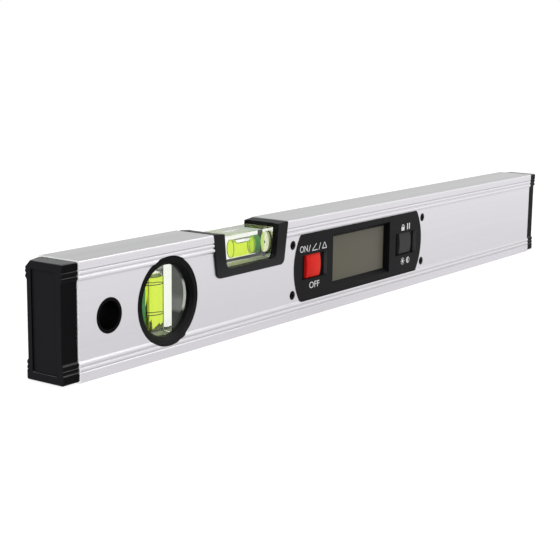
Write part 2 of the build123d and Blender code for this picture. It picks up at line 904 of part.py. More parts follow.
def battery_tray():
    """Tray in a window of the rear wall, with ears behind the wall and a land for the door's screw."""
    middle = (rim_left + rim_right) / 2
    half = (rim_right - rim_left) / 2
    tray = rounded_plate(middle, half, mid_z, rim_half_height, tray_corner, floor_bottom, tray_face)
    ear_back = inner_y - flange_wall
    tray += box_between((rim_left - tray_ear, ear_back, mid_z - tray_ear_height / 2),
                        (rim_right + tray_ear, inner_y, mid_z + tray_ear_height / 2))
    for x, z in tray_screws:
        tray += rod_y(x, z, boss_radius, inner_y - tray_boss, ear_back)
        tray -= rod_y(x, z, screw_shaft + pilot_gap, inner_y - tray_boss, inner_y)
    tray -= door_shape(slip)
    tray -= box_between((bay_left, floor_top, mid_z - bay_half_height),
                        (bay_right, tray_face, mid_z + bay_half_height))
    land_top = door_inner - land_wall
    tray -= box_between((bay_right + land_wall, floor_bottom, mid_z - bay_half_height),
                        (door_right - land_wall, land_top, mid_z + bay_half_height))
    tray += rod_y(door_screw_x, mid_z, boss_radius, floor_bottom, land_top)
    tray -= rod_y(door_screw_x, mid_z, screw_shaft + door_pilot_gap, floor_bottom, door_inner)
    for side in (-1, 1):
        tray -= contact_tag(side, slip / 2)
    return tray


def door_shape(grow):
    """Plate of the battery cover, made larger by a gap for the recess that it lies in."""
    middle = (door_left + door_right) / 2
    half = (door_right - door_left) / 2
    return rounded_plate(middle, half + grow, mid_z, door_half_height + grow,
                         tray_corner, door_inner, tray_face)


def battery_door():
    """Cover with finger grooves at its left end and a countersunk hole at its right end."""
    door = door_shape(0)
    for i in range(door_grip_count):
        x = bay_left + (i + 1) * door_grip_pitch
        door -= box_between((x, tray_face - door_grip, mid_z - bay_half_height / 2),
                            (x + door_grip_pitch / 2, tray_face, mid_z + bay_half_height / 2))
    return door - Pos(0, tray_proud, 0) * to_rear(front_screw_hole(door_screw_x, mid_z, door_thickness))


def battery_door_screw():
    return Pos(0, tray_proud, 0) * to_rear(front_screw(door_screw_x, mid_z))


def battery_cell(side):
    """Cell along X. The upper one has its nub to the left, the lower one to the right."""
    low = bay_left + contact_room
    points = [
        (0, 0),
        (cell_nub_radius, 0),
        (cell_nub_radius, cell_nub),
        (cell_radius - cell_chamfer, cell_nub),
        (cell_radius, cell_nub + cell_chamfer),
        (cell_radius, cell_length - cell_chamfer),
        (cell_radius - cell_chamfer, cell_length),
        (0, cell_length),
    ]
    cell = revolve(make_face(Polyline(*[(along, radius) for radius, along in points], close=True)), Axis.X)
    if side < 0:
        cell = Pos(cell_length, 0, 0) * Rot(0, 0, 180) * cell
    return Pos(low, cell_y, mid_z + side * cell_pitch / 2) * cell


def contact_leaf(wall, inward, z):
    """Bowed spring leaf that stands off a contact sheet and meets the end of a cell."""
    root = wall + inward * contact_sheet
    crest = wall + inward * (contact_room - slip / 2)
    half = leaf_height / 2
    leaf = make_face([
        ThreePointArc((root, z - half), (crest, z), (root, z + half)),
        Line((root, z + half), (root, z + half - leaf_sheet)),
        ThreePointArc(
            (root, z + half - leaf_sheet), (crest - inward * leaf_sheet, z), (root, z - half + leaf_sheet)
        ),
        Line((root, z - half + leaf_sheet), (root, z - half)),
    ])
    return plate_y(leaf, cell_y - leaf_width / 2, cell_y + leaf_width / 2)


def contact_sheet_at(wall, inward, low, high):
    """Flat sheet against an end wall of the bay, from one height to another."""
    near, far = sorted((wall, wall + inward * contact_sheet))
    half = contact_size / 2
    return box_between((near, cell_y - half, low), (far, cell_y + half, high))


def contact_tag(side, grow):
    """Tag that carries a contact through the left wall of the tray, made larger by a gap."""
    z = mid_z + side * tag_from_middle
    half_z = tag_width / 2 + grow
    half_y = contact_sheet / 2 + grow
    return box_between((rim_left - tag_reach, tag_y - half_y, z - half_z),
                       (bay_left, tag_y + half_y, z + half_z))


def battery_contact(side):
    """Contact at the left end of one cell, with its tag."""
    z = mid_z + side * cell_pitch / 2
    sheet = contact_sheet_at(bay_left, 1, z - contact_size / 2, z + contact_size / 2)
    return sheet + contact_leaf(bay_left, 1, z) + contact_tag(side, 0)


def battery_bridge():
    """Contact at the right end, which joins the two cells."""
    upper = mid_z + cell_pitch / 2
    lower = mid_z - cell_pitch / 2
    bridge = contact_sheet_at(bay_right, -1, lower - contact_size / 2, upper + contact_size / 2)
    return bridge + contact_leaf(bay_right, -1, upper) + contact_leaf(bay_right, -1, lower)


def battery_lead(side):
    """Wire from a contact's tag to the back of the board, with one bend as wide as its room allows."""
    z = mid_z + side * tag_from_middle
    start = rim_left - tag_reach
    end = display_x + pcb_half_width - lead_inset
    bend = 0.8 * (tag_y - pcb_back)
    path = FilletPolyline((start, tag_y, z), (end, tag_y, z), (end, pcb_back, z), radius=bend)
    section = Plane(origin=(start, tag_y, z), z_dir=(-1, 0, 0)) * Circle(lead_radius)
    return sweep(section, path=path)


nodes = {
    "body_profile": body_profile(),
    "end_cap_right": end_cap(),
    "end_cap_left": mirror(end_cap(), about=Plane.YZ),
    "hang_bush_front": hang_bush_front(),
    "hang_bush_rear": hang_bush_rear(),
    "plumb_ring_front": plumb_ring_front(),
    "plumb_ring_rear": to_rear(plumb_ring_front()),
    "plumb_liner_front": plumb_liner_front(),
    "plumb_liner_rear": group([to_rear(plumb_liner_front())]),
    "plumb_housing": plumb_housing(),
    "plumb_vial_block": plumb_vial_block(),
    "plumb_vial_liquid": plumb_vial_liquid(),
    "plumb_vial_plug": plumb_vial_plug(),
    "plumb_vial_lines": group([upright(ring) for ring in vial_lines(plumb_chamber, plumb_spacing)]),
    "level_vial_frame": level_vial_frame(),
    "level_vial_block": level_vial_block(),
    "level_vial_liquid": level_vial_liquid(),
    "level_vial_seal": level_vial_seal(),
    "level_vial_plug": level_vial_plug(),
    "level_vial_disc": level_vial_disc(),
    "level_vial_lines": group([laid(ring) for ring in vial_lines(level_chamber, level_spacing)]),
    "display_bezel": display_bezel(),
    "bezel_screws": group([front_screw(x, z) for x, z in display_screws]),
    "lcd_panel": lcd_panel(),
    "lcd_backlight": lcd_backlight(),
    "lcd_holder": lcd_holder(),
    "zebra_strips": zebra_strips(),
    "main_pcb": main_pcb(),
    "pcb_screws": group([board_screw(x, z) for x, z in board_posts]),
    "controller_chip": chip_on_board(display_x - chip_from_middle, chip_size, chip_height),
    "tilt_sensor": chip_on_board(display_x + sensor_from_middle, sensor_size, sensor_height),
    "battery_tray": battery_tray(),
    "tray_screws": group([to_rear(front_screw(x, z)) for x, z in tray_screws]),
    "battery_cells": group([battery_cell(1), battery_cell(-1)]),
    "battery_contact_positive": battery_contact(1),
    "battery_contact_negative": battery_contact(-1),
    "battery_bridge": battery_bridge(),
    "battery_lead_red": battery_lead(1),
    "battery_lead_black": battery_lead(-1),
    "battery_door": battery_door(),
    "battery_door_screw": battery_door_screw(),
}
for key_name, key_x in key_places.items():
    nodes[key_name] = rocking_key(key_x)
    nodes[key_name + "_mat"] = key_mat(key_x)

os.makedirs("parts", exist_ok=True)
for node_name, shape in nodes.items():
    export_step(shape, f"parts/{node_name}.step")
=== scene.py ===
import math

import bmesh
import bpy
from mathutils import Matrix, Vector


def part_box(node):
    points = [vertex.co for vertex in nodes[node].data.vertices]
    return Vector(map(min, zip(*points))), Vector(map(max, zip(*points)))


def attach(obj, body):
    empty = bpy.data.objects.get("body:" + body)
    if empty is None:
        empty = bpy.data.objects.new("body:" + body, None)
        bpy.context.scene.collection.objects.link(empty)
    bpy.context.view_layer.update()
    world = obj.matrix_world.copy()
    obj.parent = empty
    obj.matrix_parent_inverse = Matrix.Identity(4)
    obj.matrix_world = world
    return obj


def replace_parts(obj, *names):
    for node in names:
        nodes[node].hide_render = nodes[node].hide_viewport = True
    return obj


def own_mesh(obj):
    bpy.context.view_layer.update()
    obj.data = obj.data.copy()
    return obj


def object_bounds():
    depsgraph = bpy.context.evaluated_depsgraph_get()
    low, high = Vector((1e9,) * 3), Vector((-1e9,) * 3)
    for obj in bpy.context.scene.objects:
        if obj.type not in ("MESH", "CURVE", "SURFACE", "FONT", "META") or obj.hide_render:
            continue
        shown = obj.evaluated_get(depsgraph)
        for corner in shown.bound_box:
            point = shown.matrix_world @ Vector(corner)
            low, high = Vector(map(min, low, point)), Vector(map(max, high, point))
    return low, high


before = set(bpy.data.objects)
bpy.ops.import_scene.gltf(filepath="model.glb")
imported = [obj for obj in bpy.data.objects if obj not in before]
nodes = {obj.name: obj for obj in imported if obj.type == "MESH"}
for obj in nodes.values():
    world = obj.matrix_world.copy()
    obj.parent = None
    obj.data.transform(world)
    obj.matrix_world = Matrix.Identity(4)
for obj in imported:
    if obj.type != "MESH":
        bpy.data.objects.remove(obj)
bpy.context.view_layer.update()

# Lengths are metres in the frame of the part: +X along the level, +Y to its rear face, +Z up.
MM = 0.001
ALONG = Vector((1, 0, 0))
UPRIGHT = Vector((0, 0, 1))

# Patterns
PATTERN_LOW, PATTERN_HIGH = 0.3, 0.7  # most of a noise pattern lies between these values
EDGE_START, EDGE_FULL = 0.98, 0.75  # cosines of the turns where an edge starts and is full
FACING_START, FACING_FULL = 0.5, 0.8  # the same for a face that looks along an axis
BEVEL_SAMPLES = 6  # rays that find the edges near a point

# Vials
BLOCK_LIFT = 0.15 * MM  # the bottom of a clear block, above that of the CAD's block
BLOCK_SOFT = 0.15 * MM  # bevel of a clear block's edges
CHAMBER_EXTRA = 0.08 * MM  # a liquid's radius, past that of the CAD's liquid
CHAMBER_SOFT = 0.2 * MM  # chamfer at the ends of a chamber
CROWN = 0.15 * MM  # how much narrower a chamber is at its ends than in its middle
AIR_GAP = 0.012 * MM  # between the surface of a liquid and the air on it
AIR_SOFT = 0.3 * MM  # chamfer at the top of the plumb vial's air
PIECE_GAP = 0.06 * MM  # between pieces that follow each other along the level vial

# Prints
PRINT = 0.02 * MM  # thickness
STROKE = 0.40  # width of a line, in millimetres
CAPITALS = 0.73  # height of the font's capitals, as a share of its size

FLOOR_GAP = 0.1 * MM  # between the part and the floor
FLOOR_REACH = 6.0  # half the width of the floor


def middle_of(box):
    low, high = box
    return (low + high) / 2


class Finish:
    """A Principled material, and the patterns that the finishes below are made of.

    Patterns read Object coordinates, which are metres in the frame of the part.
    """

    def __init__(self, name, **sockets):
        self.material = bpy.data.materials.new(name)
        self.material.use_nodes = True
        self.tree = self.material.node_tree
        self.shader = self.tree.nodes["Principled BSDF"]
        self.place = self.node("ShaderNodeTexCoord").outputs["Object"]
        for socket, value in sockets.items():
            self.shader.inputs[socket.replace("_", " ")].default_value = value

    def node(self, kind, **settings):
        made = self.tree.nodes.new(kind)
        for name, value in settings.items():
            setattr(made, name, value)
        return made

    def join(self, source, target):
        self.tree.links.new(source, target)

    def use(self, socket, value):
        """Lets a pattern drive a socket of the shader."""
        self.join(value, self.shader.inputs[socket])

    def stretched(self, factors):
        """Coordinates multiplied along each axis, so that a pattern runs along the least."""
        mapping = self.node("ShaderNodeMapping")
        mapping.inputs["Scale"].default_value = factors
        self.join(self.place, mapping.inputs["Vector"])
        return mapping.outputs["Vector"]

    def noise(self, scale, detail=2.0, rough=0.5, factors=None):
        texture = self.node("ShaderNodeTexNoise")
        for name, number in (("Scale", scale), ("Detail", detail), ("Roughness", rough)):
            texture.inputs[name].default_value = number
        self.join(self.stretched(factors) if factors else self.place, texture.inputs["Vector"])
        return texture.outputs["Fac"]

    def span(self, value, low, high, start=PATTERN_LOW, finish=PATTERN_HIGH):
        """A pattern's value moved from one range to another."""
        ranged = self.node("ShaderNodeMapRange")
        limits = {"From Min": start, "From Max": finish, "To Min": low, "To Max": high}
        for name, number in limits.items():
            ranged.inputs[name].default_value = number
        self.join(value, ranged.inputs["Value"])
        return ranged.outputs["Result"]

    def rise(self, value, start, finish):
        """A mask that goes from 0 to 1 while a value goes from start to finish."""
        return self.span(value, 0.0, 1.0, start, finish)

    def shades(self, value, dark, light):
        """Two colours, and all between them, along a pattern's value."""
        ramp = self.node("ShaderNodeValToRGB")
        stops = ((PATTERN_LOW, dark), (PATTERN_HIGH, light))
        for element, (place, colour) in zip(ramp.color_ramp.elements, stops):
            element.position = place
            element.color = (*colour, 1.0)
        self.join(value, ramp.inputs["Fac"])
        return ramp.outputs["Color"]

    def mixed(self, value, first, second, kind="RGBA"):
        """A colour, or a direction, that goes over to another one along a pattern's value."""
        mix = self.node("ShaderNodeMix", data_type=kind)
        self.join(value, mix.inputs["Factor"])
        for socket, source in (("A", first), ("B", second)):
            target = next(s for s in mix.inputs if s.name == socket and s.type == kind)
            if isinstance(source, tuple):
                target.default_value = (*source, 1.0)
            else:
                self.join(source, target)
        return next(s for s in mix.outputs if s.type == kind)

    def combined(self, operation, first, second):
        """A pattern's value, reckoned with that of another pattern or with a number."""
        node = self.node("ShaderNodeMath", operation=operation)
        self.join(first, node.inputs[0])
        if isinstance(second, float):
            node.inputs[1].default_value = second
        else:
            self.join(second, node.inputs[1])
        return node.outputs["Value"]

    def product(self, first, second):
        return self.combined("MULTIPLY", first, second)

    def size_of(self, value):
        """A value without its sign."""
        plain = self.node("ShaderNodeMath", operation="ABSOLUTE")
        self.join(value, plain.inputs[0])
        return plain.outputs["Value"]

    def component(self, vector, axis):
        split = self.node("ShaderNodeSeparateXYZ")
        self.join(vector, split.inputs["Vector"])
        return split.outputs[axis]

    def along(self, axis):
        """The coordinate along an axis, in metres."""
        return self.component(self.place, axis)

    def facing(self, axis, sign):
        """A mask that is 1 on faces that look along an axis."""
        normal = self.node("ShaderNodeNewGeometry").outputs["True Normal"]
        return self.rise(self.component(normal, axis), FACING_START * sign, FACING_FULL * sign)

    def soft_normal(self, radius):
        """Normals rounded over the edges."""
        bevel = self.node("ShaderNodeBevel", samples=BEVEL_SAMPLES)
        bevel.inputs["Radius"].default_value = radius
        return bevel.outputs["Normal"]

    def edges(self, radius):
        """A mask that is 1 on the edges and 0 on open faces."""
        turn = self.node("ShaderNodeVectorMath", operation="DOT_PRODUCT")
        self.join(self.soft_normal(radius), turn.inputs[0])
        self.join(self.node("ShaderNodeNewGeometry").outputs["Normal"], turn.inputs[1])
        return self.rise(turn.outputs["Value"], EDGE_START, EDGE_FULL)

    def relief(self, height, distance, strength, normal=None):
        """Bumps from a pattern, with their height in metres."""
        bump = self.node("ShaderNodeBump")
        bump.inputs["Distance"].default_value = distance
        bump.inputs["Strength"].default_value = strength
        self.join(height, bump.inputs["Height"])
        if normal is not None:
            self.join(normal, bump.inputs["Normal"])
        return bump.outputs["Normal"]


def tint(colour, factor):
    return tuple(min(1.0, c * factor) for c in colour)


def satin_aluminium():
    """Extruded and anodised: fine lines along the profile and a slightly uneven sheen.
    Painted light and shade: the upper part is painted lighter and the deck darker; rubbed
    edges and the bare cut faces at both ends are painted extra bright as highlights."""
    rubbed, shaded_deck, bare_cut_highlight = (0.72, 0.71, 0.73), (0.445, 0.445, 0.448), (0.95, 0.95, 0.95)
    f = Finish("satin_aluminium", Metallic=1.0)
    lines = f.noise(1.0, detail=3.0, rough=0.6, factors=(9.0, 2600.0, 2600.0))
    broad = f.noise(1.0, factors=(5.0, 160.0, 160.0))
    grain = f.noise(5200.0)
    # Painted light: above 38 mm the profile is painted lighter than below 14 mm, blended between.
    lower = f.shades(lines, (0.585, 0.570, 0.598), (0.607, 0.592, 0.620))
    upper = f.shades(lines, (0.628, 0.614, 0.641), (0.650, 0.636, 0.663))
    colour = f.mixed(f.rise(f.along("Z"), 14 * MM, 38 * MM), lower, upper)
    # Rubbed edges, whose colour is also a painted highlight on the edges and bead crests.
    worn_and_highlit = f.product(f.edges(0.25 * MM), f.span(f.noise(240.0, detail=3.0), 0.2, 0.9))
    colour = f.mixed(worn_and_highlit, colour, rubbed)
    # Painted shade: the deck, which faces up, is painted darker.
    colour = f.mixed(f.facing("Z", 1), colour, shaded_deck)
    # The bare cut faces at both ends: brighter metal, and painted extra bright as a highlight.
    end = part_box("body_profile")[1].x
    ends = f.rise(f.size_of(f.along("X")), end - 0.05 * MM, end - 0.02 * MM)
    f.use("Base Color", f.mixed(ends, colour, bare_cut_highlight))
    f.use("Roughness", f.span(broad, 0.34, 0.42))
    rounded = f.mixed(ends, f.soft_normal(0.12 * MM), f.soft_normal(1.6 * MM), "VECTOR")
    drawn = f.relief(lines, 0.003 * MM, 0.3, rounded)
    f.use("Normal", f.relief(grain, 0.002 * MM, 0.3, drawn))
    return f.material


def moulded(name, colour, roughness, shine, grain=0.35, depth=0.012, soft=0.15, wear=1.35,
            paint=None):
    """Moulded plastic with a fine spark-eroded grain, with soft and slightly polished edges.

    The grain's size and depth and the edges' radius are millimetres. Rubbed edges are brighter by
    the wear, and a paint is a function that changes the colour.
    """
    f = Finish(name, Specular_IOR_Level=shine)
    fine = f.noise(1.0 / (grain * MM), rough=0.6)
    base = f.shades(f.noise(45.0, detail=3.0), tint(colour, 0.88), tint(colour, 1.12))
    patches = f.span(f.noise(350.0, detail=3.0), 0.15, 0.9)
    rubbed = f.product(f.edges(soft * 1.5 * MM), patches)
    base = f.mixed(rubbed, base, tint(colour, wear))
    f.use("Base Color", paint(f, base) if paint else base)
    f.use("Roughness", f.span(fine, roughness - 0.07, roughness + 0.07))
    f.use("Normal", f.relief(fine, depth * MM, 0.5, f.soft_normal(soft * MM)))
    return f.material


def painted_light_cap(f, base):
    """Painted light: the cap's end face is painted a little paler than its sides, and its mottled
    top much paler, as a painted sheen.
    """
    ends = f.mixed(f.facing("X", -1), base, (0.0145, 0.0140, 0.0170))
    painted_top_light = f.shades(f.noise(160.0, detail=3.0), (0.10, 0.10, 0.102), (0.15, 0.15, 0.152))
    return f.mixed(f.facing("Z", 1), ends, painted_top_light)


def painted_light_below(node, low_colour):
    """A paint that gets paler from the middle of a piece to its bottom, as painted light."""
    def paint(f, base):
        low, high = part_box(node)
        return f.mixed(f.rise(f.along("Z"), (low.z + high.z) / 2, low.z), base, low_colour)
    return paint


def shaded_tube(f, base):
    """Painted light and shade: the tube is painted darkest at its lower side and palest at the
    height of the vial's middle.
    """
    grey, dark = (0.36, 0.36, 0.362), (0.06, 0.06, 0.061)
    middle = middle_of(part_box("plumb_housing")).z
    height = f.along("Z")
    upper = f.mixed(f.rise(height, middle - 3.2 * MM, middle - 0.5 * MM), grey, base)
    return f.mixed(f.rise(height, middle - 6.5 * MM, middle - 8.0 * MM), upper, dark)


def painted_light_band(f, base):
    """Painted light and shade: the liner is painted white at the height of the vial's middle, a
    painted highlight for the white background seen past the vial, and dark elsewhere.
    """
    middle = middle_of(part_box("plumb_liner_front")).z
    away = f.size_of(f.combined("SUBTRACT", f.along("Z"), middle))
    return f.mixed(f.rise(away, 5.0 * MM, 7.0 * MM), base, (0.02, 0.03, 0.02))


def painted_light_pockets(f, base):
    """Painted light: the end walls of the key pockets are painted paler than the wall of the
    window.
    """
    low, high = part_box("lcd_panel")
    right = f.rise(f.along("X"), high.x, high.x + MM)
    left = f.rise(f.along("X"), low.x, low.x - MM)
    pockets = f.combined("MAXIMUM", right, left)
    return f.mixed(f.product(f.facing("X", -1), pockets), base, (0.085, 0.085, 0.090))


def painted_shade_red(f, base):
    """Painted shade: a deeper red towards the left."""
    low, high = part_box("power_key")
    return f.mixed(f.rise(f.along("X"), high.x, low.x), base, (0.64, 0.008, 0.008))


def metal(name, colour, roughness):
    """Plain sheet or turned metal with fine scratches."""
    scale = 900.0
    f = Finish(name, Metallic=1.0)
    scratch = f.noise(scale, detail=3.0, rough=0.65)
    f.use("Base Color", f.shades(scratch, tint(colour, 0.85), tint(colour, 1.1)))
    f.use("Roughness", f.span(scratch, roughness - 0.08, roughness + 0.1))
    f.use("Normal", f.relief(f.noise(scale * 4), 0.004 * MM, 0.4, f.soft_normal(0.08 * MM)))
    return f.material


def clear(name, colour, ior, clarity=1.0):
    """Clear cast plastic, a liquid or air: flow lines in its surface, and a trace of haze."""
    f = Finish(name, Transmission_Weight=clarity, IOR=ior)
    flow = f.noise(90.0)
    f.use("Base Color", f.shades(f.noise(25.0), tint(colour, 0.985), colour))
    f.use("Roughness", f.span(flow, 0.0, 0.02))
    f.use("Normal", f.relief(flow, 0.002 * MM, 0.2))
    return f.material


def lcd_glass():
    """Unlit display: grey-olive polariser with a fine grain and a black border at the right."""
    cloudy, black = (0.109, 0.102, 0.080), (0.004, 0.004, 0.004)
    f = Finish("lcd_glass", Specular_IOR_Level=0.14)
    low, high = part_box("lcd_panel")
    sweep = f.rise(f.along("X"), low.x, high.x)
    body = f.mixed(sweep, (0.125, 0.118, 0.080), (0.124, 0.117, 0.090))
    body = f.mixed(f.span(f.noise(70.0), 0.0, 0.25), body, cloudy)
    border = f.rise(f.along("X"), high.x - 3.3 * MM, high.x - 3.0 * MM)
    grain = f.noise(9000.0, detail=1.0)
    f.use("Base Color", f.mixed(border, body, black))
    f.use("Roughness", f.span(grain, 0.30, 0.40))
    f.use("Normal", f.relief(grain, 0.001 * MM, 0.2))
    return f.material


def board_green():
    """Solder mask over copper tracks."""
    f = Finish("board_green", Specular_IOR_Level=0.5)
    brick = f.node("ShaderNodeTexBrick")
    brick.inputs["Scale"].default_value = 420.0
    brick.inputs["Mortar Size"].default_value = 0.03
    f.join(f.place, brick.inputs["Vector"])
    tracks = f.rise(brick.outputs["Fac"], 0.2, 0.8)
    f.use("Base Color", f.mixed(tracks, (0.012, 0.075, 0.03), (0.03, 0.13, 0.05)))
    f.use("Roughness", f.span(f.noise(800.0), 0.28, 0.4))
    f.use("Normal", f.relief(tracks, 0.02 * MM, 0.5))
    return f.material


def cell_wrap():
    """Printed sleeve of the cells: plain bands along their length."""
    bare, dark, stripe, black = (
        (0.62, 0.62, 0.64), (0.10, 0.13, 0.16), (0.30, 0.38, 0.40), (0.08, 0.10, 0.12))
    stops = ((0.0, bare), (0.045, dark), (0.30, stripe), (0.34, black), (0.955, bare))
    f = Finish("cell_wrap", Metallic=0.6)
    low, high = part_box("battery_cells")
    bands = f.node("ShaderNodeValToRGB")
    bands.color_ramp.interpolation = "CONSTANT"
    elements = bands.color_ramp.elements
    while len(elements) < len(stops):
        elements.new(0.5)
    for element, (place, colour) in zip(elements, stops):
        element.position = place
        element.color = (*colour, 1.0)
    f.join(f.rise(f.along("X"), low.x, high.x), bands.inputs["Fac"])
    f.use("Base Color", bands.outputs["Color"])
    f.use("Roughness", f.span(f.noise(500.0), 0.25, 0.4))
    f.use("Normal", f.relief(f.noise(120.0), 0.01 * MM, 0.4))
    return f.material


def polished_end(name, colour, end_colour, paint=None):
    """Moulded plastic whose face towards the liquid is polished and mirrors the clear plastic
    before it."""
    f = Finish(name, Specular_IOR_Level=0.3)
    end = f.facing("X", -1)
    grain = f.noise(1500.0)
    base = f.mixed(end, f.shades(grain, tint(colour, 0.9), tint(colour, 1.1)), end_colour)
    f.use("Base Color", paint(f, base) if paint else base)
    f.use("Metallic", f.span(end, 0.0, 0.85, 0.0, 1.0))
    f.use("Roughness", f.span(end, 0.45, 0.08, 0.0, 1.0))
    f.use("Normal", f.relief(grain, 0.002 * MM, 0.2))
    return f.material


def greener_rear(f, base):
    """The disc is greener towards the rear."""
    middle = middle_of(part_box("level_vial_disc")).y
    rear = f.rise(f.along("Y"), middle - 1.0 * MM, middle + 2.5 * MM)
    return f.mixed(rear, base, (0.60, 0.84, 0.12))


def white_print():
    f = Finish("white_print", Specular_IOR_Level=0.3)
    f.use("Base Color", f.shades(f.noise(2600.0), (0.72, 0.72, 0.72), (0.86, 0.86, 0.85)))
    f.use("Roughness", f.span(f.noise(4000.0), 0.45, 0.65))
    return f.material


# The numbers after a colour are the roughness and the shine of plastic, the roughness of metal,
# and the refractive index of what is clear.
finishes = {
    "aluminium": satin_aluminium(),
    "cap": moulded("cap_plastic", (0.0024, 0.0024, 0.0030), 0.42, 0.035, soft=0.25, paint=painted_light_cap),
    "trim": moulded("trim_plastic", (0.0048, 0.0048, 0.0050), 0.46, 0.07, soft=0.2),
    "ring": moulded("ring_plastic", (0.0020, 0.0020, 0.0022), 0.46, 0.055, soft=0.2,
                    paint=painted_light_below("plumb_ring_front", (0.016, 0.016, 0.016))),
    "bush": moulded("bush_plastic", (0.0015, 0.0015, 0.0016), 0.42, 0.035, soft=0.2),
    "frame": moulded("frame_plastic", (0.0050, 0.0050, 0.0058), 0.48, 0.10, soft=0.3,
                     paint=painted_light_below("level_vial_frame", (0.018, 0.018, 0.019))),
    "housing": moulded("housing_plastic", (0.21, 0.21, 0.212), 0.36, 0.4, paint=shaded_tube),
    "bezel": moulded("bezel_plastic", (0.0060, 0.0058, 0.0068), 0.50, 0.065, soft=0.2,
                     paint=painted_light_pockets),
    "holder": moulded("holder_plastic", (0.6, 0.6, 0.58), 0.5, 0.4),
    "backlight": moulded("backlight_plastic", (0.72, 0.74, 0.70), 0.35, 0.5),
    "key_red": moulded("key_red", (0.87, 0.052, 0.032), 0.42, 0.04, grain=0.25, depth=0.006,
                       soft=0.3, wear=1.1, paint=painted_shade_red),
    "key_grey": moulded("key_grey", (0.032, 0.032, 0.033), 0.45, 0.1, grain=0.25, depth=0.006,
                        soft=0.3, wear=1.2),
    "silicone": moulded("mat_silicone", (0.30, 0.30, 0.29), 0.6, 0.4, soft=0.3),
    "rubber": moulded("contact_rubber", (0.05, 0.05, 0.06), 0.7, 0.3),
    "chip": moulded("chip_epoxy", (0.012, 0.012, 0.013), 0.55, 0.4),
    "stopper": polished_end("vial_stopper", (0.86, 0.90, 0.50), (0.99, 0.99, 0.80),
                            paint=greener_rear),
    "plumb_stopper": moulded("plumb_stopper", (0.80, 0.84, 0.74), 0.3, 0.5, soft=0.3, wear=1.05),
    "bed": moulded("vial_bed", (0.62, 0.65, 0.50), 0.5, 0.4, soft=0.2, wear=1.1),
    "film": moulded("vial_film", (0.30, 0.95, 0.32), 0.35, 0.4, soft=0.1),
    "seal": polished_end("vial_seal", (0.014, 0.30, 0.004), (0.98, 0.99, 0.96)),
    "line": moulded("vial_line", (0.012, 0.02, 0.008), 0.5, 0.3),
    "liner": moulded("liner_satin", (0.93, 0.93, 0.92), 0.35, 0.4, soft=0.1, wear=1.0,
                     paint=painted_light_band),
    "screw": metal("black_oxide", (0.0020, 0.0020, 0.0022), 0.42),
    "steel": metal("plated_steel", (0.58, 0.57, 0.55), 0.28),
    "contact": metal("nickel", (0.66, 0.63, 0.57), 0.25),
    "lead_red": moulded("lead_red", (0.45, 0.02, 0.02), 0.4, 0.5),
    "lead_black": moulded("lead_black", (0.012, 0.012, 0.012), 0.4, 0.5),
    "lcd": lcd_glass(),
    "board": board_green(),
    "cell": cell_wrap(),
    "print": white_print(),
    "acrylic": clear("vial_acrylic", (0.84, 0.865, 0.80), 1.49),
    "core": clear("vial_core", (0.985, 0.995, 0.975), 1.0),
    "liquid": clear("vial_liquid", (0.80, 0.985, 0.050), 1.0, clarity=0.93),
    "air": clear("vial_air", (0.93, 0.95, 0.90), 1.45),
}
worn_by = {
    "aluminium": "body_profile",
    "cap": "end_cap_left end_cap_right",
    "trim": "battery_tray battery_door",
    "ring": "plumb_ring_front plumb_ring_rear",
    "bush": "hang_bush_front hang_bush_rear",
    "frame": "level_vial_frame",
    "housing": "plumb_housing",
    "bezel": "display_bezel",
    "holder": "lcd_holder",
    "backlight": "lcd_backlight",
    "key_red": "power_key",
    "key_grey": "hold_key",
    "silicone": "power_key_mat hold_key_mat",
    "rubber": "zebra_strips",
    "chip": "controller_chip tilt_sensor",
    "stopper": "level_vial_disc",
    "core": "level_vial_plug",
    "plumb_stopper": "plumb_vial_plug",
    "seal": "level_vial_seal",
    "line": "plumb_vial_lines level_vial_lines",
    "liner": "plumb_liner_front plumb_liner_rear",
    "screw": "bezel_screws tray_screws battery_door_screw",
    "steel": "pcb_screws",
    "contact": "battery_bridge battery_contact_positive battery_contact_negative",
    "lead_red": "battery_lead_red",
    "lead_black": "battery_lead_black",
    "lcd": "lcd_panel",
    "board": "main_pcb",
    "cell": "battery_cells",
    "acrylic": "plumb_vial_block level_vial_block",
    "liquid": "plumb_vial_liquid level_vial_liquid",
}


def dress(mesh, finish):
    mesh.materials.clear()
    mesh.materials.append(finishes[finish])


def dress_nodes():
    for finish, names in worn_by.items():
        for name in names.split():
            dress(nodes[name].data, finish)


def add(name, mesh, finish):
    """A new piece, riding on the level's body."""
    dress(mesh, finish)
    obj = bpy.data.objects.new(name, mesh)
    bpy.context.scene.collection.objects.link(obj)
    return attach(obj, "level_body")


def piece(name, build, finish, smooth=True):
    """A new piece whose mesh is made by build."""
    mesh = bpy.data.meshes.new(name)
    made = bmesh.new()
    build(made)
    bmesh.ops.recalc_face_normals(made, faces=made.faces)
    made.to_mesh(mesh)
    made.free()
    for face in mesh.polygons:
        face.use_smooth = smooth
    return add(name, mesh, finish)


def skin(made, rings):
    """Closed skin over rings with as many points each, capped at both ends."""
    rows = [[made.verts.new(p) for p in ring] for ring in rings]
    count = len(rows[0])
    for a, b in zip(rows, rows[1:]):
        for i in range(count):
            j = (i + 1) % count
            made.faces.new((a[i], a[j], b[j], b[i]))
    made.faces.new(rows[0])
    made.faces.new(list(reversed(rows[-1])))


